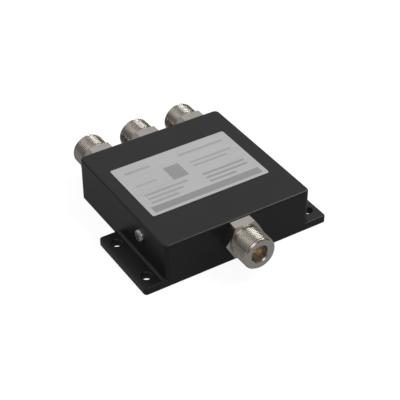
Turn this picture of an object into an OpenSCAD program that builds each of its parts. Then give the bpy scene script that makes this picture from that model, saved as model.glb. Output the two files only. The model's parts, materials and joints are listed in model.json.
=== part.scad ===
// RF power splitter: a cast box with one coaxial socket in front and three behind.
// Origin: centre of the four ear holes, on the mounting plane.
// X runs across the ears, Y from the input to the outputs, Z up from the mounting plane.

/* [Housing] */
// Width of the box across its side walls, without the ears
body_w = 75; // [74:1:100]
// Depth of the box from the front wall to the rear wall
body_d = 76.5; // [70:0.5:110]
// Height of the box above the mounting plane
body_h = 22; // [21.5:0.5:30]
// Thickness of the side walls
side_wall = 4; // [3.5:0.25:5]
// Thickness of the front and rear walls, which the sockets screw into
port_wall = 5; // [4.5:0.25:7]
// Thickness of the roof
roof_t = 3; // [2:0.25:3.5]
// Radius of the upright corners
corner_r = 2.5; // [2.2:0.1:4]
// Radius of the rounded top edge
top_edge_r = 1; // [0.6:0.1:1.3]
// Radius inside the upright corners of the cavity
cavity_corner_r = 1.5; // [0.5:0.25:3]

/* [Ears] */
// Reach of each ear beyond the side wall
ear_reach = 10; // [8:0.5:16]
// Length of each ear, back from the front wall
ear_len = 41; // [36:1:60]
// Thickness of the ears
ear_t = 3.5; // [2.5:0.25:8]
// Radius of the outer corners of the ears
ear_corner_r = 1.5; // [0.5:0.25:4]
// Radius of the rounded top edges of the ears
ear_edge_r = 0.5; // [0.3:0.1:1]
// Radius of the cove where an ear meets the side wall
ear_cove_r = 1.5; // [0.5:0.25:3]
// Diameter of the mounting holes
ear_hole_d = 4.5; // [3.2:0.1:6]
// Chamfer around the top of each mounting hole
ear_hole_chamfer = 0.4; // [0.2:0.1:0.8]
// Distance between the two mounting holes of one ear
ear_hole_pitch = 26; // [16:1:28]

/* [Bottom cover] */
// Thickness of the cover plate
cover_t = 2; // [1.5:0.25:3]
// How far the cover plate lies above the mounting plane
cover_recess = 0.4; // [0.2:0.1:1]
// Width of the wall that stands around the cover plate
cover_rim = 2; // [1.5:0.25:2.5]
// Radius of the cover plate's corners
cover_corner_r = 1.2; // [0.5:0.1:2]
// Gap between the cover plate and the wall around it
cover_gap = 0.15; // [0.05:0.05:0.3]
// Thickness of the gasket between the cover plate and its ledge
gasket_t = 0.6; // [0.3:0.1:1.5]
// Thread diameter of the screws
screw_d = 2.5; // [2:0.1:3]
// Length of the cover screws, head included
cover_screw_len = 9; // [7:0.5:12]
// Diameter of the bosses that the cover screws enter
cover_boss_d = 6; // [5:0.25:7]
// How far the cover bosses stand in from the cavity walls
cover_boss_inset = 1.5; // [1:0.25:2.5]

/* [Sockets] */
// Distance between neighbouring output sockets
port_pitch = 25; // [23:0.1:26]
// Height of the socket axes above the mounting plane
port_z = 13; // [12.8:0.1:14]
// Outside diameter of the coupling thread
barrel_d = 15.88; // [14:0.02:16.5]
// Length of the barrel ahead of the hexagon
barrel_len = 11; // [10:0.25:14]
// Width and depth of the chamfer at the barrel's front edge
barrel_chamfer = 0.8; // [0.3:0.1:1.2]
// Length of the relief groove between the hexagon and the thread
relief_len = 1.2; // [0.8:0.1:2]
// Depth of the relief groove
relief_depth = 0.8; // [0.3:0.1:1]
// Hexagon across its flats
hex_af = 17; // [16.8:0.1:19]
// Length of the hexagon
hex_len = 5; // [4:0.25:8]
// Diameter of the shank that screws into the wall
shank_d = 12.7; // [12:0.1:12.8]
// Inside diameter of the socket's mouth
mouth_d = 8.1; // [7.6:0.05:9]
// Depth of the mouth, from the barrel's front edge to the seating plane
mouth_depth = 9.1; // [8.5:0.1:10]
// Chamfer at the edge of the mouth
mouth_chamfer = 0.5; // [0.2:0.1:1]
// Outside diameter of the insulator at its front
insulator_d = 7; // [6:0.1:7.2]
// How far the insulator lies behind the seating plane
insulator_recess = 0.3; // [0.1:0.1:1]
// Diameter of the insulator's flange at the back
insulator_flange_d = 9; // [8:0.1:10]
// Length of the insulator's flange
insulator_flange_len = 3; // [2:0.25:4]
// Outside diameter of the centre contact
contact_d = 3.04; // [2.6:0.02:3.4]
// Diameter of the hole in the tip of the contact
contact_hole_d = 1.7; // [1.4:0.05:1.9]
// Depth of the hole in the tip of the contact
contact_hole_depth = 5.5; // [4:0.25:7]
// How far the contact's tip stands ahead of the seating plane
contact_tip = 5.26; // [4.5:0.02:6]
// Length of the contact behind the seating plane before its tail
contact_grip = 6; // [4:0.5:8]
// Width of the slots in the contact's tip
contact_slot_w = 0.35; // [0.2:0.05:0.5]
// Length of the slots in the contact's tip
contact_slot_len = 4.5; // [3:0.25:5]
// Diameter of the contact's tail
tail_d = 1.3; // [1:0.05:1.6]
// How far the tail reaches into the cavity
tail_len = 4; // [3:0.25:6]
// Depth of the groove for the sealing ring
seal_groove_depth = 1.2; // [0.8:0.1:1.6]
// Width of the groove for the sealing ring
seal_groove_w = 1.5; // [1.3:0.05:1.7]
// Gap between a piece and the hole or groove that it sits in
fit_gap = 0.05; // [0.02:0.01:0.1]

/* [Circuit] */
// Thickness of the circuit board
board_t = 1.6; // [0.8:0.1:2]
// Gap between the board and the cavity walls and bosses
board_gap = 1; // [0.5:0.1:1.5]
// Thickness of the copper tracks
copper_t = 0.1; // [0.05:0.05:0.2]
// Width of the tracks that meet the sockets
line_w = 3; // [2:0.25:3.5]
// Width of the three branches between the split and the fan
branch_w = 1.6; // [1.5:0.1:2.2]
// Distance between neighbouring branches
branch_pitch = 6.5; // [5:0.25:7.5]
// Distance from the front wall to the split
split_from_front = 16; // [12:0.5:20]
// Distance from the rear wall to the line where the branches fan out
fan_from_rear = 14; // [12:0.5:16]
// Width of an isolation resistor along the branches
resistor_w = 3.2; // [2:0.1:4]
// Thickness of an isolation resistor
resistor_t = 0.6; // [0.4:0.05:1]
// How far a resistor overlaps each branch
resistor_lap = 0.6; // [0.3:0.05:0.75]
// Diameter of the bosses that the board is screwed to
board_boss_d = 6; // [5:0.25:7]
// Distance of the board screws from the side walls and the front wall of the cavity
board_screw_inset = 11; // [9:0.5:14]
// Height of the board screws' heads
board_head_h = 1.5; // [1:0.1:2]

/* [Label] */
// Width of the label
label_w = 60.5; // [40:0.5:66]
// Depth of the label
label_d = 38.7; // [20:0.1:60]
// Thickness of the label
label_t = 0.3; // [0.1:0.05:0.6]
// Radius of the label's corners
label_corner_r = 1; // [0.25:0.25:3]
// How far the label sits to the right of the middle of the top
label_shift = -0.8; // [-2:0.1:2]
// How far the label sits behind the middle of the top
label_back = 1.4; // [-4:0.1:4]

/* [Hidden] */
$fn = 48;
// How far a cut runs past the face that it opens
PAST = 1;
// Width of a screw's head over its thread diameter
HEAD_RATIO = 1.88;

front_y = -ear_len / 2;
rear_y = front_y + body_d;
mid_y = (front_y + rear_y) / 2;

cavity_w = body_w - 2 * side_wall;
cavity_front = front_y + port_wall;
cavity_rear = rear_y - port_wall;
cavity_d = cavity_rear - cavity_front;
roof_z = body_h - roof_t;
gasket_z = cover_recess + cover_t;
ledge_z = gasket_z + gasket_t;

ear_hole_x = (body_w + ear_reach) / 2;

rim_z = hex_len + barrel_len;
seat_z = rim_z - mouth_depth;
insulator_front_z = seat_z - insulator_recess;
insulator_flange_z = insulator_flange_len - port_wall;
contact_tip_z = seat_z + contact_tip;
contact_step_z = seat_z - contact_grip;
tail_end_z = -port_wall - tail_len;
seal_r = (shank_d / 2 + hex_af / 2) / 2;

track_z = port_z + tail_d / 2;
board_z = track_z + copper_t;
board_top_z = board_z + board_t;
board_boss_len = roof_z - board_top_z;
// Metal left beyond the end of a blind screw hole
screw_floor = 0.6;
board_hole_depth = board_boss_len - screw_floor;
screw_head_d = HEAD_RATIO * screw_d;
screw_hole_d = screw_d + 2 * fit_gap;

split_y = cavity_front + split_from_front;
fan_y = cavity_rear - fan_from_rear;

// Each socket: its place across the box and the face of the wall that it screws into
INPUT = [0, front_y];
OUTPUT_LEFT = [-port_pitch, rear_y];
OUTPUT_MIDDLE = [0, rear_y];
OUTPUT_RIGHT = [port_pitch, rear_y];
PORTS = [INPUT, OUTPUT_LEFT, OUTPUT_MIDDLE, OUTPUT_RIGHT];

// The cover's screws: three along each side, ahead of the fan, and one on each side of the middle output
fan_edge = fan_y - line_w / 2 - board_gap;
cover_screw_x = cavity_w / 2 - cover_boss_inset;
cover_screw_front = cavity_front + cover_boss_inset;
cover_screw_back = fan_edge - cover_boss_d / 2;
COVER_SCREWS = [
    for (side = [-1, 1])
        for (place = [
            [cover_screw_x, cover_screw_front],
            [cover_screw_x, (cover_screw_front + cover_screw_back) / 2],
            [cover_screw_x, cover_screw_back],
            [port_pitch / 2, cavity_rear - cover_boss_inset]
        ])
            [side * place[0], place[1]]
];

// The board's screws: two on each side of the branches
board_screw_x = cavity_w / 2 - board_screw_inset;
BOARD_SCREWS = [
    for (side = [-1, 1])
        for (y = [cavity_front + board_screw_inset, fan_edge - screw_head_d / 2])
            [side * board_screw_x, y]
];

// A rectangle with round corners, centred
module rounded_rect(w, d, r) {
    square([w, d - 2 * r], center = true);
    square([w - 2 * r, d], center = true);
    for (x = [-1, 1], y = [-1, 1])
        translate([x * (w / 2 - r), y * (d / 2 - r)])
            circle(r);
}

// The section of a block: upright sides and rounded top edges
module block_section(w, h, edge_r) {
    inner = w / 2 - edge_r;
    translate([-w / 2, 0])
        square([w, h - edge_r]);
    translate([-inner, 0])
        square([2 * inner, h]);
    for (side = [-1, 1])
        translate([side * inner, h - edge_r])
            circle(edge_r);
}

// A block with round upright corners and rounded top edges: two crossing sections and four turned posts
module rounded_block(w, d, h, upright_r, edge_r) {
    translate([0, d / 2 - upright_r, 0])
        rotate([90, 0, 0])
            linear_extrude(d - 2 * upright_r)
                block_section(w, h, edge_r);
    translate([-w / 2 + upright_r, 0, 0])
        rotate([90, 0, 90])
            linear_extrude(w - 2 * upright_r)
                block_section(d, h, edge_r);
    for (x = [-1, 1], y = [-1, 1])
        translate([x * (w / 2 - upright_r), y * (d / 2 - upright_r), 0])
            rotate_extrude()
                intersection() {
                    block_section(2 * upright_r, h, edge_r);
                    square([upright_r, h]);
                }
}

// The section of the cove: a square with a quarter round cut out of its outer corner
module cove_section() {
    difference() {
        translate([-PAST, -PAST])
            square(ear_cove_r + PAST);
        translate([ear_cove_r, ear_cove_r])
            circle(ear_cove_r);
    }
}

// Both ears, as one plate through the box, and the coves that run along the side walls and around the corners
module ear_form() {
    plate_w = body_w + 2 * ear_reach;
    rounded_block(plate_w, ear_len, ear_t, ear_corner_r, ear_edge_r);
    intersection() {
        linear_extrude(ear_t + ear_cove_r)
            square([plate_w, ear_len - 2 * ear_edge_r], center = true);
        for (side = [0, 1])
            mirror([side, 0, 0])
                translate([body_w / 2 - corner_r, front_y + corner_r, ear_t]) {
                    translate([corner_r, ear_len - corner_r, 0])
                        rotate([90, 0, 0])
                            linear_extrude(ear_len - corner_r)
                                cove_section();
                    rotate(-90)
                        rotate_extrude(angle = 90)
                            translate([corner_r, 0])
                                cove_section();
                }
    }
}

// The hollow under the roof, with the screw bosses left standing in it
module cavity_plan() {
    difference() {
        translate([0, mid_y])
            rounded_rect(cavity_w, cavity_d, cavity_corner_r);
        for (place = COVER_SCREWS)
            translate(place)
                circle(d = cover_boss_d);
    }
}

// The outline of the cover plate, grown by a gap
module cover_plan(gap) {
    inset = 2 * (cover_rim + cover_gap - gap);
    translate([0, mid_y])
        rounded_rect(body_w - inset, body_d - inset, cover_corner_r + gap);
}

// Moves a socket's piece from its own axis to its place in the wall
module at_port(port) {
    outward = port[1] < mid_y ? 90 : -90;
    translate([port[0], port[1], port_z])
        rotate([outward, 0, 0])
            children();
}

// A stepped hole or shaft about its own axis, from a list of [radius, height] corners
module turned(corners) {
    rotate_extrude()
        polygon(corners);
}

// The cross in a screw's head
module cross_recess(depth) {
    for (turn = [0, 90])
        rotate(turn)
            translate([0, 0, depth / 2])
                cube([screw_d, screw_d / 4, depth + PAST / 10], center = true);
}

module housing() {
    color("#232325")
    difference() {
        union() {
            translate([0, mid_y, 0])
                rounded_block(body_w, body_d, body_h, corner_r, top_edge_r);
            ear_form();
        }
        difference() {
            linear_extrude(roof_z)
                cavity_plan();
            for (place = BOARD_SCREWS)
                translate([place[0], place[1], board_top_z])
                    cylinder(d = board_boss_d, h = board_boss_len);
        }
        translate([0, 0, -PAST])
            linear_extrude(ledge_z + PAST)
                cover_plan(cover_gap);
        for (port = PORTS)
            at_port(port)
                translate([0, 0, -port_wall - PAST / 10])
                    cylinder(d = shank_d + 2 * fit_gap, h = port_wall + PAST);
        for (x = [-ear_hole_x, ear_hole_x], y = [-ear_hole_pitch / 2, ear_hole_pitch / 2])
            translate([x, y, 0])
                turned([
                    [0, -PAST],
                    [ear_hole_d / 2, -PAST],
                    [ear_hole_d / 2, ear_t - ear_hole_chamfer],
                    [ear_hole_d / 2 + ear_hole_chamfer + PAST, ear_t + PAST],
                    [0, ear_t + PAST]
                ]);
        for (place = COVER_SCREWS)
            translate([place[0], place[1], 0])
                cylinder(d = screw_hole_d, h = cover_recess + cover_screw_len + screw_floor);
        for (place = BOARD_SCREWS)
            translate([place[0], place[1], board_top_z - PAST / 10])
                cylinder(d = screw_hole_d, h = board_hole_depth + PAST / 10);
    }
}

module bottom_cover() {
    color("#2a2a2c")
    difference() {
        translate([0, 0, cover_recess])
            linear_extrude(cover_t)
                cover_plan(0);
        for (place = COVER_SCREWS)
            translate([place[0], place[1], cover_recess])
                turned([
                    [0, -PAST],
                    [screw_head_d / 2 + fit_gap + PAST, -PAST],
                    [screw_hole_d / 2, (screw_head_d - screw_d) / 2],
                    [screw_hole_d / 2, cover_t + PAST],
                    [0, cover_t + PAST]
                ]);
    }
}

module cover_gasket() {
    color("#4a4a4a")
    translate([0, 0, gasket_z])
        linear_extrude(gasket_t)
            difference() {
                cover_plan(0);
                cavity_plan();
                for (place = COVER_SCREWS)
                    translate(place)
                        circle(d = screw_hole_d);
            }
}

module cover_screws() {
    head_h = (screw_head_d - screw_d) / 2;
    color("#3c3c3e")
    for (place = COVER_SCREWS)
        translate([place[0], place[1], cover_recess])
            difference() {
                turned([
                    [0, 0],
                    [screw_head_d / 2, 0],
                    [screw_d / 2, head_h],
                    [screw_d / 2, cover_screw_len],
                    [0, cover_screw_len]
                ]);
                cross_recess(head_h / 2);
            }
}

module label() {
    color("#b4b4b2")
    translate([label_shift, mid_y + label_back, body_h])
        linear_extrude(label_t)
            rounded_rect(label_w, label_d, label_corner_r);
}

module circuit_board() {
    color("#355e3b")
    translate([0, 0, board_z])
        linear_extrude(board_t)
            difference() {
                translate([0, mid_y])
                    square([cavity_w - 2 * board_gap, cavity_d - 2 * board_gap], center = true);
                for (place = COVER_SCREWS)
                    translate(place)
                        circle(d = cover_boss_d + 2 * board_gap);
                for (place = BOARD_SCREWS)
                    translate(place)
                        circle(d = screw_hole_d);
            }
}

// A straight track between two points, with round ends
module track(start, finish, w) {
    run = finish - start;
    translate(start)
        rotate(atan2(run[1], run[0]))
            translate([0, -w / 2])
                square([norm(run), w]);
    for (point = [start, finish])
        translate(point)
            circle(d = w);
}

module copper_tracks() {
    board_front = cavity_front + board_gap + line_w / 2;
    board_rear = cavity_rear - board_gap - line_w / 2;
    color("#b87333")
    translate([0, 0, track_z])
        linear_extrude(copper_t) {
            track([0, board_front], [0, split_y], line_w);
            track([-branch_pitch, split_y], [branch_pitch, split_y], branch_w);
            for (lane = [-1, 0, 1]) {
                track([lane * branch_pitch, split_y], [lane * branch_pitch, fan_y], branch_w);
                track([lane * port_pitch, fan_y], [lane * port_pitch, board_rear], line_w);
            }
            for (side = [-1, 1])
                track([side * branch_pitch, fan_y], [side * port_pitch, fan_y], line_w);
        }
}

module isolation_resistors() {
    chip_len = branch_pitch - branch_w + 2 * resistor_lap;
    color("#1d1d1d")
    for (side = [-1, 1], share = [1 / 3, 2 / 3])
        translate([side * branch_pitch / 2, split_y + share * (fan_y - split_y), track_z - resistor_t / 2])
            cube([chip_len, resistor_w, resistor_t], center = true);
}

module board_screws() {
    shank_len = board_t + board_hole_depth - fit_gap;
    color("silver")
    for (place = BOARD_SCREWS)
        translate([place[0], place[1], board_z])
            difference() {
                union() {
                    translate([0, 0, -board_head_h])
                        cylinder(d = screw_head_d, h = board_head_h);
                    cylinder(d = screw_d, h = shank_len);
                }
                translate([0, 0, -board_head_h])
                    cross_recess(board_head_h / 2);
            }
}

// The hexagon, with the corners of its front end turned off
module socket_hexagon() {
    corner = hex_af / 2 / cos(30);
    intersection() {
        cylinder(r = corner, h = hex_len, $fn = 6);
        turned([
            [0, 0],
            [corner + PAST, 0],
            [corner + PAST, hex_len - (corner - hex_af / 2 + PAST) / 2],
            [hex_af / 2, hex_len],
            [0, hex_len]
        ]);
    }
}

module socket_shell(port) {
    barrel_r = barrel_d / 2;
    flange_r = insulator_flange_d / 2 + fit_gap;
    color("#b9b3a8")
    at_port(port)
        difference() {
            union() {
                socket_hexagon();
                turned([
                    [0, -port_wall],
                    [shank_d / 2, -port_wall],
                    [shank_d / 2, hex_len / 2],
                    [barrel_r - relief_depth, hex_len / 2],
                    [barrel_r - relief_depth, hex_len + relief_len],
                    [barrel_r, hex_len + relief_len],
                    [barrel_r, rim_z - barrel_chamfer],
                    [barrel_r - barrel_chamfer, rim_z],
                    [0, rim_z]
                ]);
            }
            turned([
                [0, -port_wall - PAST],
                [flange_r, -port_wall - PAST],
                [flange_r, insulator_flange_z + fit_gap],
                [insulator_d / 2 + fit_gap, insulator_flange_z + fit_gap],
                [insulator_d / 2 + fit_gap, seat_z],
                [mouth_d / 2, seat_z],
                [mouth_d / 2, rim_z - mouth_chamfer],
                [mouth_d / 2 + mouth_chamfer + PAST, rim_z + PAST],
                [0, rim_z + PAST]
            ]);
            turned([
                [seal_r - seal_groove_w / 2, -PAST],
                [seal_r + seal_groove_w / 2, -PAST],
                [seal_r + seal_groove_w / 2, seal_groove_depth],
                [seal_r - seal_groove_w / 2, seal_groove_depth]
            ]);
        }
}

module socket_seal(port) {
    section_r = seal_groove_depth / 2 - fit_gap;
    color("#141414")
    at_port(port)
        rotate_extrude()
            translate([seal_r, seal_groove_depth / 2])
                circle(section_r);
}

module socket_insulator(port) {
    color("#efece2")
    at_port(port)
        turned([
            [tail_d / 2 + fit_gap, -port_wall],
            [insulator_flange_d / 2, -port_wall],
            [insulator_flange_d / 2, insulator_flange_z],
            [insulator_d / 2, insulator_flange_z],
            [insulator_d / 2, insulator_front_z],
            [contact_d / 2 + fit_gap, insulator_front_z],
            [contact_d / 2 + fit_gap, contact_step_z - fit_gap],
            [tail_d / 2 + fit_gap, contact_step_z - fit_gap]
        ]);
}

module socket_contact(port) {
    color("#c8a24c")
    at_port(port)
        difference() {
            turned([
                [0, tail_end_z],
                [tail_d / 2, tail_end_z],
                [tail_d / 2, contact_step_z],
                [contact_d / 2, contact_step_z],
                [contact_d / 2, contact_tip_z],
                [contact_hole_d / 2, contact_tip_z],
                [contact_hole_d / 2, contact_tip_z - contact_hole_depth],
                [0, contact_tip_z - contact_hole_depth]
            ]);
            for (turn = [45, 135])
                rotate(turn)
                    translate([0, 0, contact_tip_z + PAST / 2 - contact_slot_len / 2])
                        cube([contact_d + PAST, contact_slot_w, contact_slot_len + PAST], center = true);
        }
}

housing();
bottom_cover();
cover_gasket();
cover_screws();
label();
circuit_board();
copper_tracks();
isolation_resistors();
board_screws();
socket_shell(INPUT);  // input_shell
socket_seal(INPUT);  // input_seal
socket_insulator(INPUT);  // input_insulator
socket_contact(INPUT);  // input_contact
socket_shell(OUTPUT_LEFT);  // output_left_shell
socket_seal(OUTPUT_LEFT);  // output_left_seal
socket_insulator(OUTPUT_LEFT);  // output_left_insulator
socket_contact(OUTPUT_LEFT);  // output_left_contact
socket_shell(OUTPUT_MIDDLE);  // output_middle_shell
socket_seal(OUTPUT_MIDDLE);  // output_middle_seal
socket_insulator(OUTPUT_MIDDLE);  // output_middle_insulator
socket_contact(OUTPUT_MIDDLE);  // output_middle_contact
socket_shell(OUTPUT_RIGHT);  // output_right_shell
socket_seal(OUTPUT_RIGHT);  // output_right_seal
socket_insulator(OUTPUT_RIGHT);  // output_right_insulator
socket_contact(OUTPUT_RIGHT);  // output_right_contact
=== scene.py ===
"""Looks of an RF power splitter: a black cast box, a pale label and four threaded coaxial sockets."""

import json
import math

import bmesh
import bpy
from mathutils import Matrix, Vector


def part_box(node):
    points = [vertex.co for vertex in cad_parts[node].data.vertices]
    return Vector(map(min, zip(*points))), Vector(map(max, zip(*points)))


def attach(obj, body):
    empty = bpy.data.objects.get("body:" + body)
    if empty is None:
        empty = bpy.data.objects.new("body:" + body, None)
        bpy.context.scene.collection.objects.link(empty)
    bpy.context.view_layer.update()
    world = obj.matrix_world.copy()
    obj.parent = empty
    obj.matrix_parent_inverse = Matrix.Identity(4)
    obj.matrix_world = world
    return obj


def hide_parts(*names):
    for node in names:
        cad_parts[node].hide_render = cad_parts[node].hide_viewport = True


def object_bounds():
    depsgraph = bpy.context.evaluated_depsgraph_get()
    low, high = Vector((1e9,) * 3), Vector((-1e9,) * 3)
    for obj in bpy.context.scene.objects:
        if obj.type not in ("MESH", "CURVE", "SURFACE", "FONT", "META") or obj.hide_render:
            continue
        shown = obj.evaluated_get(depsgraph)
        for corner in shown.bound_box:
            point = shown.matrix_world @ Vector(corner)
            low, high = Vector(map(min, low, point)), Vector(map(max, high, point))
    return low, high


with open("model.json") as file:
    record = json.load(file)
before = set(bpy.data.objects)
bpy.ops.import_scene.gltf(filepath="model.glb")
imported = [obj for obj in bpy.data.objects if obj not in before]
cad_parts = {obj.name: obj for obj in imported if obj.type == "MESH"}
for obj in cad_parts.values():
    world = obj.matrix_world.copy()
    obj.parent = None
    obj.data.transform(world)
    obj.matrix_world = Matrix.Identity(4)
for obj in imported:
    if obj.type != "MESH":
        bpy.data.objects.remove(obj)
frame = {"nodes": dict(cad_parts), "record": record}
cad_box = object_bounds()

MM = 0.001
SAME_POINT = 0.001 * MM
SAME_RADIUS = 0.01 * MM

# Camera of the photograph, worked out for its square frame
FRAME_PX = 400
AZIMUTH = math.radians(-31.815)
ELEVATION = math.radians(37.132)
DISTANCE = 551.4 * MM
FOCAL_PX = 1213.2
SENSOR = 36.0
TARGET = Vector((0, 17.5, 12)) * MM
TARGET_PX = (193.04, 191.28)

# Sky, from dim to bright as a direction nears the side that it names
SKY_SIDE = (-0.1, 0.6, 0.79)
SKY_RISE = (0.2, 0.9)
DIM_COLOUR = (0.1, 0.092, 0.084, 1)
BRIGHT_COLOUR = (0.6, 0.6, 0.6, 1)

# Floor: its own grey, and the glow that the camera and the reflections see on it
FLOOR_REACH = 4
FLOOR_GAP = 0.05 * MM
FLOOR_LEVEL = 0.16
FLOOR_SEEN = 0.92
FLOOR_MIRRORED = 0.18

# Square lamps: offset from the middle of the object and side in metres, power in watts
KEY = ((0.6, -0.1, 0.75), 0.6, 5.5)
FILL = ((-0.3, -0.7, 0.7), 0.6, 1.5)

# Print on the label: left, right, front and back in millimetres from its middle, and darkness
LABEL_BAND = (-28.0, 28.0, -17.6, -13.4, 0.55)
LABEL_BLOCK = (-9.0, -1.0, -1.5, 8.5, 0.5)
LABEL_ROWS = (
    (-26.0, -13.0, 12.6, 14.2, 0.3),
    (2.0, 26.0, 12.6, 14.2, 0.3),
    (4.0, 26.0, 5.2, 6.6, 0.3),
    (4.0, 22.0, 2.2, 3.6, 0.3),
    (-26.0, -15.5, 2.2, 3.6, 0.2),
    (-26.0, -4.0, -5.6, -4.2, 0.35),
    (-26.0, -8.0, -8.6, -7.2, 0.35),
    (-26.0, -12.0, -11.6, -10.2, 0.35),
    (4.0, 26.0, -5.6, -4.2, 0.45),
    (4.0, 26.0, -8.6, -7.2, 0.45),
    (4.0, 18.0, -11.6, -10.2, 0.45),
)

# Coaxial sockets, measured outwards from the wall that they screw into
SOCKETS = ("input", "output_left", "output_middle", "output_right")
SOCKET_STEPS = 120
SOCKET_CRISP_ANGLE = math.radians(32)
WALL = 5 * MM
SHANK_R = 6.35 * MM
HEX_FLAT_R = 8.5 * MM
HEX_CORNER_R = HEX_FLAT_R / math.cos(math.pi / 6)
HEX_LEN = 5 * MM
HEX_CHAMFER_SLOPE = 0.5
HEX_EDGE = 0.15 * MM
RELIEF_R = 7.14 * MM
THREAD_START = 6.2 * MM
RIM = 16 * MM
RIM_CHAMFER = 0.8 * MM
MOUTH_R = 4.05 * MM
MOUTH_CHAMFER = 0.5 * MM
MOUTH_DEPTH = 9.1 * MM
INSULATOR_R = 3.55 * MM
FLANGE_R = 4.55 * MM
FLANGE_LEN = 3.05 * MM
SEAL_INNER_R = 6.675 * MM
SEAL_OUTER_R = 8.175 * MM
SEAL_DEPTH = 1.2 * MM

# Coupling thread: 24 turns to the inch
PITCH = 25.4 / 24 * MM
THREAD_DEPTH = 0.613 * PITCH
CREST_SHARE = 1 / 8
ROOT_SHARE = 1 / 4
RINGS_PER_TURN = 12

# Side screws, one on each side wall above the middle of the ear
SIDE_SCREWS = {"left_side_screw": -1, "right_side_screw": 1}
SIDE_WALL_X = 37.5 * MM
SCREW_Z = 14.5 * MM
SCREW_STEPS = 48
SCREW_CRISP_ANGLE = math.radians(40)
SCREW_R = 3 * MM
SCREW_FLAT_R = 1.9 * MM
SCREW_HEIGHT = 1.6 * MM
SCREW_SIDE = 0.4 * MM
DOME_STEPS = 8
CROSS_LENGTH = 3.2 * MM
CROSS_WIDTH = 0.7 * MM
CROSS_DEPTH = 0.9 * MM
CROSS_TURN = math.radians(25)


class Value:
    """A shader socket that Python's own operators turn into Math nodes."""

    def __init__(self, nodes, socket):
        self.nodes = nodes
        self.socket = socket

    def _math(self, operation, first, second):
        made = self.nodes.node("ShaderNodeMath", {"operation": operation}, {0: first, 1: second})
        return Value(self.nodes, made.outputs[0])

    def __add__(self, other):
        return self._math("ADD", self, other)

    def __radd__(self, other):
        return self._math("ADD", other, self)

    def __mul__(self, other):
        return self._math("MULTIPLY", self, other)

    def __rmul__(self, other):
        return self._math("MULTIPLY", other, self)

    def __gt__(self, other):
        return self._math("GREATER_THAN", self, other)

    def __lt__(self, other):
        return self._math("LESS_THAN", self, other)


class Nodes:
    """An emptied node tree, to be filled by plain calls."""

    def __init__(self, tree):
        self.tree = tree
        self.tree.nodes.clear()

    def node(self, kind, settings=None, inputs=None):
        made = self.tree.nodes.new(kind)
        for name, value in (settings or {}).items():
            setattr(made, name, value)
        for key, value in (inputs or {}).items():
            value = value.socket if isinstance(value, Value) else value
            if isinstance(value, bpy.types.NodeSocket):
                self.tree.links.new(value, made.inputs[key])
            else:
                made.inputs[key].default_value = value
        return made

    def mix(self, share, first, second):
        made = self.node("ShaderNodeMix", {"data_type": "RGBA"}, {0: share, 6: first, 7: second})
        return made.outputs[2]


class Paint(Nodes):
    """One material and the nodes that it is made of."""

    def __init__(self, name):
        self.material = bpy.data.materials.new(name)
        self.material.use_nodes = True
        super().__init__(self.material.node_tree)
        self.place = self.node("ShaderNodeTexCoord").outputs["Object"]

    def shift(self, centre, stretch):
        """Object coordinates from a new centre, stretched along each axis."""
        moved = [-c * s for c, s in zip(centre, stretch)]
        inputs = {"Vector": self.place, "Location": moved, "Scale": stretch}
        return self.node("ShaderNodeMapping", {}, inputs).outputs[0]

    def noise(self, scale, detail, place=None):
        inputs = {"Vector": place or self.place, "Scale": scale, "Detail": detail}
        made = self.node("ShaderNodeTexNoise", {"noise_dimensions": "3D"}, inputs)
        return Value(self, made.outputs["Fac"])

    def bump(self, height, strength, distance):
        inputs = {"Height": height, "Strength": strength, "Distance": distance}
        return self.node("ShaderNodeBump", {}, inputs).outputs[0]

    def finish(self, **sockets):
        """Ends the material in one Principled surface; underscores in a socket's name stand for spaces."""
        named = {name.replace("_", " "): value for name, value in sockets.items()}
        surface = self.node("ShaderNodeBsdfPrincipled", {}, named)
        self.node("ShaderNodeOutputMaterial", {}, {"Surface": surface.outputs[0]})
        return self.material


def grey(level, warm=0.0):
    """A grey, a little warmer than neutral if asked."""
    return (level * (1 + warm), level, level * (1 - warm), 1)


def black_paint():
    """Semi-gloss black paint with a faint orange peel and a fine grain."""
    paint = Paint("black_paint")
    cloud = paint.noise(scale=60, detail=3)
    peel = paint.noise(scale=1500, detail=2)
    grain = paint.noise(scale=5200, detail=1)
    colour = paint.mix(cloud, grey(0.010), grey(0.016))
    normal = paint.bump(peel * 0.7 + grain * 0.3, strength=0.18, distance=0.05 * MM)
    rough = 0.30 + cloud * 0.08 + grain * 0.05
    return paint.finish(Base_Color=colour, Roughness=rough, Normal=normal, Specular_IOR_Level=0.38)


def within(value, low, high):
    """A mask that is 1 between two limits and 0 elsewhere."""
    return (value > low) * (value < high)


def label_foil():
    """Satin silver foil with plain printed fields: a band along the front, a block and short rows."""
    low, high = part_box("label")
    centre = (low + high) / 2
    paint = Paint("label_foil")
    in_mm = paint.shift(centre, stretch=(1 / MM, 1 / MM, 1 / MM))
    split = paint.node("ShaderNodeSeparateXYZ", {}, {0: in_mm})
    x = Value(paint, split.outputs[0])
    y = Value(paint, split.outputs[1])
    ink = 0.0
    for left, right, front, back, darkness in (LABEL_BAND, LABEL_BLOCK, *LABEL_ROWS):
        ink = within(x, left, right) * within(y, front, back) * darkness + ink
    along = paint.shift(centre, stretch=(0.03, 1, 1))
    brushed = paint.noise(scale=900, detail=2, place=along)
    cloud = paint.noise(scale=45, detail=2)
    foil = paint.mix(brushed * 0.6 + cloud * 0.4, grey(0.51), grey(0.67))
    colour = paint.mix(ink, foil, grey(0.16))
    normal = paint.bump(brushed, strength=0.08, distance=0.02 * MM)
    rough = 0.34 + brushed * 0.12 + ink * 0.1
    return paint.finish(Base_Color=colour, Roughness=rough, Metallic=0.35, Normal=normal)


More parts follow.
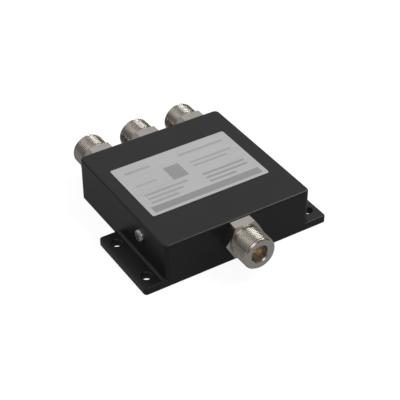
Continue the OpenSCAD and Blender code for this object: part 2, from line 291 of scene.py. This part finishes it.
def nickel():
    """Warm bright plating over fine turning marks."""
    paint = Paint("nickel")
    cloud = paint.noise(scale=220, detail=3)
    around = paint.shift((0, 0, 0), stretch=(0.05, 1, 0.05))
    turning = paint.noise(scale=2600, detail=2, place=around)
    colour = paint.mix(cloud, (0.58, 0.545, 0.50, 1), (0.68, 0.645, 0.60, 1))
    normal = paint.bump(turning, strength=0.06, distance=0.02 * MM)
    rough = 0.16 + cloud * 0.10 + turning * 0.06
    return paint.finish(Base_Color=colour, Roughness=rough, Metallic=1.0, Normal=normal)


def plated(name, dark, light, rough):
    """Bright metal with a cloudy colour and fine scuffs."""
    paint = Paint(name)
    cloud = paint.noise(scale=400, detail=3)
    scuff = paint.noise(scale=3000, detail=2)
    colour = paint.mix(cloud, dark, light)
    normal = paint.bump(scuff, strength=0.05, distance=0.02 * MM)
    return paint.finish(Base_Color=colour, Roughness=rough + scuff * 0.12, Metallic=1.0, Normal=normal)


def plain(name, dark, light, rough):
    """Dull plastic, rubber, ceramic or laminate with a fine grain."""
    paint = Paint(name)
    cloud = paint.noise(scale=150, detail=2)
    grain = paint.noise(scale=1800, detail=2)
    colour = paint.mix(cloud * 0.6 + grain * 0.4, dark, light)
    normal = paint.bump(grain, strength=0.1, distance=0.02 * MM)
    return paint.finish(Base_Color=colour, Roughness=rough + grain * 0.1, Normal=normal)


MATERIALS = {
    "black_paint": black_paint(),
    "label_foil": label_foil(),
    "nickel": nickel(),
    "gold": plated("gold", (0.62, 0.40, 0.14, 1), (0.78, 0.54, 0.22, 1), 0.2),
    "copper": plated("copper", (0.62, 0.26, 0.12, 1), (0.76, 0.36, 0.18, 1), 0.25),
    "zinc_steel": plated("zinc_steel", grey(0.46), grey(0.58), 0.25),
    "black_steel": plated("black_steel", grey(0.02), grey(0.04), 0.35),
    "insulator_white": plain("insulator_white", grey(0.66, 0.03), grey(0.76, 0.03), 0.45),
    "gasket_rubber": plain("gasket_rubber", grey(0.012), grey(0.022), 0.6),
    "resistor_ceramic": plain("resistor_ceramic", grey(0.015), grey(0.03), 0.5),
    "board_laminate": plain("board_laminate", (0.02, 0.09, 0.03, 1), (0.03, 0.13, 0.05, 1), 0.4),
}


def paint_nodes():
    """Gives every CAD node the material of its slot."""
    for part in frame["record"]["subparts"]:
        mesh = frame["nodes"][part["node"]].data
        mesh.materials.clear()
        mesh.materials.append(MATERIALS[part["material_slot"]])


def turn_outline(bm, outline, steps, closed):
    """Turns a half section, given as radii and heights, once around the Z axis."""
    points = [bm.verts.new((radius, 0, height)) for radius, height in outline]
    ends = points[1:] + points[:1] if closed else points[1:]
    edges = [bm.edges.new(pair) for pair in zip(points, ends)]
    bmesh.ops.spin(
        bm, geom=points + edges, cent=(0, 0, 0), axis=(0, 0, 1),
        angle=math.tau, steps=steps, use_merge=True,
    )


def stand_on_wall(bm, foot, out):
    """Points a shape that stands on the XY plane outwards from a place on a wall."""
    turn = out.to_track_quat("Z", "Y").to_matrix().to_4x4()
    bmesh.ops.transform(bm, matrix=Matrix.Translation(foot) @ turn, verts=bm.verts)


def add_piece(bm, name, slot, crisp_angle):
    """Makes a smooth-shaded piece of the object; edges past the crisp angle stay sharp."""
    mesh = bpy.data.meshes.new(name)
    bm.to_mesh(mesh)
    bm.free()
    mesh.shade_smooth()
    mesh.set_sharp_from_angle(angle=crisp_angle)
    mesh.materials.append(MATERIALS[slot])
    piece = bpy.data.objects.new(name, mesh)
    bpy.context.scene.collection.objects.link(piece)
    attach(piece, "root")
    return piece


def thread_radius(height, angle, crest_r):
    """Radius of the coupling thread at a height and an angle, cut back at both of its ends."""
    phase = (height / PITCH - angle / math.tau) % 1
    flank = (1 - CREST_SHARE - ROOT_SHARE) / 2
    from_crest = max(abs(phase - 0.5) - CREST_SHARE / 2, 0)
    radius = crest_r - THREAD_DEPTH * min(from_crest / flank, 1)
    run_out = RELIEF_R + (height - THREAD_START)
    lead_in = crest_r - RIM_CHAMFER + (RIM - height)
    return min(radius, run_out, lead_in)


def hexagon_radius(angle):
    """Distance from the hexagon's axis to its edge at an angle."""
    sixth = math.pi / 3
    return HEX_FLAT_R / math.cos((angle % sixth) - sixth / 2)


def shell_outline(crest_r):
    """Half of the shell's section, from the back of the shank out to the rim and back down the bore."""
    turns = (RIM - THREAD_START) / PITCH
    rings = math.ceil(turns * RINGS_PER_TURN)
    thread = [(crest_r, THREAD_START + (RIM - THREAD_START) * i / rings) for i in range(rings + 1)]
    seat = RIM - MOUTH_DEPTH
    flange_front = FLANGE_LEN - WALL
    return [
        (FLANGE_R, -WALL), (SHANK_R, -WALL), (SHANK_R, 0),
        (SEAL_INNER_R, 0), (SEAL_INNER_R, SEAL_DEPTH), (SEAL_OUTER_R, SEAL_DEPTH), (SEAL_OUTER_R, 0),
        (HEX_CORNER_R, 0), (HEX_CORNER_R, HEX_LEN), (HEX_FLAT_R, HEX_LEN),
        (RELIEF_R, HEX_LEN), *thread,
        (MOUTH_R + MOUTH_CHAMFER, RIM), (MOUTH_R, RIM - MOUTH_CHAMFER), (MOUTH_R, seat),
        (INSULATOR_R, seat), (INSULATOR_R, flange_front), (FLANGE_R, flange_front),
    ]


def shape_shell(point, crest_r):
    """Moves a turned point onto the hexagon or the thread that it belongs to."""
    radius = math.hypot(point.x, point.y)
    angle = math.atan2(point.y, point.x) % math.tau
    height = point.z
    if abs(radius - HEX_CORNER_R) < SAME_RADIUS:
        radius = hexagon_radius(angle)
        if height > HEX_LEN / 2:
            height = HEX_LEN - (radius - HEX_FLAT_R) * HEX_CHAMFER_SLOPE
    elif abs(radius - crest_r) < SAME_RADIUS:
        radius = thread_radius(height, angle, crest_r)
    return Vector((radius * math.cos(angle), radius * math.sin(angle), height))


def bevel_hexagon(bm):
    """Takes the sharpness off the six upright corners of the hexagon."""
    corners = [
        edge for edge in bm.edges
        if all(math.hypot(vert.co.x, vert.co.y) > HEX_CORNER_R - SAME_RADIUS for vert in edge.verts)
    ]
    bmesh.ops.bevel(
        bm, geom=corners, offset=HEX_EDGE, affect="EDGES", segments=2, profile=0.5, material=-1,
    )


def smooth_thread(mesh, foot, out):
    """Clears the sharp edges along the thread, where a crisp line would break up into facets."""
    for edge in mesh.edges:
        ahead = [(mesh.vertices[i].co - foot).dot(out) for i in edge.vertices]
        if min(ahead) > THREAD_START + PITCH / 2 and max(ahead) < RIM - RIM_CHAMFER:
            edge.use_edge_sharp = False


def socket_shell(name):
    """The nickel-plated shell of one socket: hexagon, threaded barrel and bored mouth."""
    mount = next(m for m in frame["record"]["mounts"] if m["name"] == name + "_port")
    crest_r = mount["dims"]["r_mm"] * MM
    node_name = name + "_shell"
    low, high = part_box(node_name)
    out = Vector(mount["axis"])
    rim_y = high.y if out.y > 0 else low.y
    foot = Vector((mount["pos_m"][0], rim_y, mount["pos_m"][2])) - out * RIM

    bm = bmesh.new()
    turn_outline(bm, shell_outline(crest_r), SOCKET_STEPS, closed=True)
    for vert in bm.verts:
        vert.co = shape_shell(vert.co, crest_r)
    bmesh.ops.remove_doubles(bm, verts=bm.verts, dist=SAME_POINT)
    bmesh.ops.recalc_face_normals(bm, faces=bm.faces)
    bevel_hexagon(bm)
    stand_on_wall(bm, foot, out)
    piece = add_piece(bm, node_name + "_threaded", "nickel", SOCKET_CRISP_ANGLE)
    smooth_thread(piece.data, foot, out)
    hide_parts(node_name)


def pan_head(bm):
    """The domed wall and the foot of a screw head on the XY plane, left open at its flat top."""
    outline = [(SCREW_R, 0)]
    for step in range(DOME_STEPS + 1):
        angle = step / DOME_STEPS * math.pi / 2
        radius = SCREW_FLAT_R + (SCREW_R - SCREW_FLAT_R) * math.cos(angle)
        height = SCREW_SIDE + (SCREW_HEIGHT - SCREW_SIDE) * math.sin(angle)
        outline.append((radius, height))
    turn_outline(bm, outline, SCREW_STEPS, closed=False)
    bmesh.ops.remove_doubles(bm, verts=bm.verts, dist=SAME_POINT)
    rims = [edge for edge in bm.edges if edge.is_boundary]
    foot = [edge for edge in rims if edge.verts[0].co.z < SCREW_SIDE / 2]
    bmesh.ops.contextual_create(bm, geom=foot)


def cross_recess(bm):
    """Closes the flat top of a screw head around a cross that is sunk into it."""
    crown = [edge for edge in bm.edges if edge.is_boundary]
    half_length, half_width = CROSS_LENGTH / 2, CROSS_WIDTH / 2
    arm = ((half_length, -half_width), (half_length, half_width), (half_width, half_width))
    corners = []
    for quarter in range(4):
        turn = Matrix.Rotation(CROSS_TURN + quarter * math.pi / 2, 3, "Z")
        corners += [bm.verts.new(turn @ Vector((x, y, SCREW_HEIGHT))) for x, y in arm]
    cross = [bm.edges.new(pair) for pair in zip(corners, corners[1:] + corners[:1])]
    bmesh.ops.triangle_fill(bm, edges=crown + cross, use_beauty=True, normal=(0, 0, 1))
    sunk = bmesh.ops.extrude_edge_only(bm, edges=cross)["geom"]
    floor_verts = [item for item in sunk if isinstance(item, bmesh.types.BMVert)]
    floor_edges = [
        item for item in sunk
        if isinstance(item, bmesh.types.BMEdge) and all(vert in floor_verts for vert in item.verts)
    ]
    bmesh.ops.translate(bm, vec=(0, 0, -CROSS_DEPTH), verts=floor_verts)
    bmesh.ops.contextual_create(bm, geom=floor_edges)


def side_screw(name, side):
    """The bright pan head of a screw in one side wall."""
    bm = bmesh.new()
    pan_head(bm)
    cross_recess(bm)
    bmesh.ops.recalc_face_normals(bm, faces=bm.faces)
    stand_on_wall(bm, foot=Vector((side * SIDE_WALL_X, 0, SCREW_Z)), out=Vector((side, 0, 0)))
    add_piece(bm, name, "zinc_steel", SCREW_CRISP_ANGLE)


def floor_white():
    """White to the camera, dimmer in reflections and clear from below; it keeps the object's shadow."""
    paint = Paint("floor_white")
    path = paint.node("ShaderNodeLightPath")
    seen = Value(paint, path.outputs["Is Camera Ray"])
    mirrored = Value(paint, path.outputs["Is Glossy Ray"])
    through = Value(paint, path.outputs["Is Transmission Ray"])
    lift = seen * FLOOR_SEEN + mirrored * FLOOR_MIRRORED + through * FLOOR_SEEN
    surface = paint.node("ShaderNodeBsdfDiffuse", {}, {"Color": grey(FLOOR_LEVEL)})
    glow = paint.node("ShaderNodeEmission", {}, {"Color": grey(1), "Strength": lift})
    both = paint.node("ShaderNodeAddShader", {}, {0: surface.outputs[0], 1: glow.outputs[0]})
    below = paint.node("ShaderNodeNewGeometry").outputs["Backfacing"]
    clear = paint.node("ShaderNodeBsdfTransparent")
    shown = paint.node("ShaderNodeMixShader", {}, {0: below, 1: both.outputs[0], 2: clear.outputs[0]})
    paint.node("ShaderNodeOutputMaterial", {}, {"Surface": shown.outputs[0]})
    return paint.material


def make_floor():
    """A wide sheet just below the mounting plane."""
    bm = bmesh.new()
    bmesh.ops.create_grid(bm, x_segments=1, y_segments=1, size=FLOOR_REACH)
    bmesh.ops.translate(bm, vec=(0, 0, -FLOOR_GAP), verts=bm.verts)
    mesh = bpy.data.meshes.new("floor")
    bm.to_mesh(mesh)
    bm.free()
    mesh.materials.append(floor_white())
    floor = bpy.data.objects.new("floor", mesh)
    bpy.context.scene.collection.objects.link(floor)


def area_light(name, offset, size, power):
    """A square lamp that looks at the middle of the object from an offset."""
    target = (cad_box[0] + cad_box[1]) / 2
    place = target + Vector(offset)
    light = bpy.data.lights.new(name, "AREA")
    light.shape = "SQUARE"
    light.size = size
    light.energy = power
    lamp = bpy.data.objects.new(name, light)
    lamp.location = place
    lamp.rotation_euler = (target - place).to_track_quat("-Z", "Y").to_euler()
    bpy.context.scene.collection.objects.link(lamp)


def make_world():
    """A studio that is bright above and behind the object, dim in front and white to the camera."""
    world = bpy.data.worlds.new("studio")
    world.use_nodes = True
    sky = Nodes(world.node_tree)
    place = sky.node("ShaderNodeTexCoord").outputs["Generated"]
    side = sky.node("ShaderNodeVectorMath", {"operation": "DOT_PRODUCT"}, {0: place, 1: SKY_SIDE})
    limits = {"From Min": SKY_RISE[0], "From Max": SKY_RISE[1]}
    rise = sky.node("ShaderNodeMapRange", {}, {"Value": side.outputs["Value"], **limits})
    light = sky.mix(rise.outputs[0], DIM_COLOUR, BRIGHT_COLOUR)
    path = sky.node("ShaderNodeLightPath")
    shown = sky.mix(path.outputs["Is Camera Ray"], light, grey(1))
    background = sky.node("ShaderNodeBackground", {}, {"Color": shown})
    sky.node("ShaderNodeOutputWorld", {}, {"Surface": background.outputs[0]})
    bpy.context.scene.world = world


def make_camera():
    """A camera that shows the target at its own pixel of the frame."""
    flat = math.cos(ELEVATION)
    back = Vector((math.sin(AZIMUTH) * flat, -math.cos(AZIMUTH) * flat, math.sin(ELEVATION)))
    place = TARGET + back * DISTANCE
    turn = (-back).to_track_quat("-Z", "Y").to_matrix()
    right, up = turn.col[0], turn.col[1]
    per_px = DISTANCE / FOCAL_PX
    across = (FRAME_PX / 2 - TARGET_PX[0]) * per_px
    down = (FRAME_PX / 2 - TARGET_PX[1]) * per_px
    aim = TARGET + right * across - up * down
    data = bpy.data.cameras.new("camera")
    data.sensor_width = SENSOR
    data.lens = FOCAL_PX / FRAME_PX * SENSOR
    camera = bpy.data.objects.new("camera", data)
    look = (aim - place).to_track_quat("-Z", "Y").to_matrix().to_4x4()
    camera.matrix_world = Matrix.Translation(place) @ look
    bpy.context.scene.collection.objects.link(camera)
    bpy.context.scene.camera = camera


paint_nodes()
for socket_name in SOCKETS:
    socket_shell(socket_name)
for screw_name, screw_side in SIDE_SCREWS.items():
    side_screw(screw_name, screw_side)

make_floor()
make_world()
area_light("key", *KEY)
area_light("fill", *FILL)
make_camera()

bpy.context.scene.view_settings.view_transform = "Standard"
